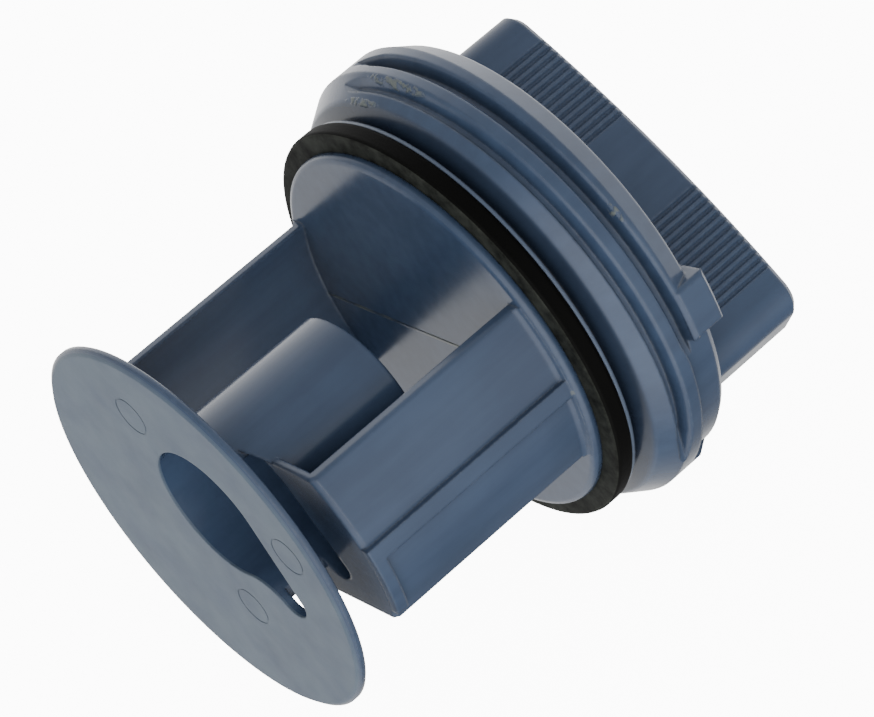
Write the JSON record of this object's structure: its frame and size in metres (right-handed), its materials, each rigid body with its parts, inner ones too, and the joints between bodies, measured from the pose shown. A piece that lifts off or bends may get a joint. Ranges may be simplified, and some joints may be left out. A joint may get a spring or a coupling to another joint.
{
  "type": "drain pump filter",
  "caption": "Screw-in drain pump filter: end disc with a keyhole tube, lint cage open above and below, rubber sealing ring, collar with thread grooves and a ribbed grip bar.",
  "frame": {"origin": "on the axis, at the middle of the sealing ring's width", "axes": "+X along the axis from the end disc to the grip, +Z out of the open side of the lint cage that the tube's round bore stands towards, +Y to the cage's plain side wall"},
  "size_m": [0.0757, 0.0647, 0.0644],
  "materials": {
    "filter_body": "satin moulded plastic",
    "sealing_ring": "dull, scuffed"
  },
  "bodies": {
    "root": {"filter_body": "filter_body", "sealing_ring": "sealing_ring"}
  },
  "joints": []
}
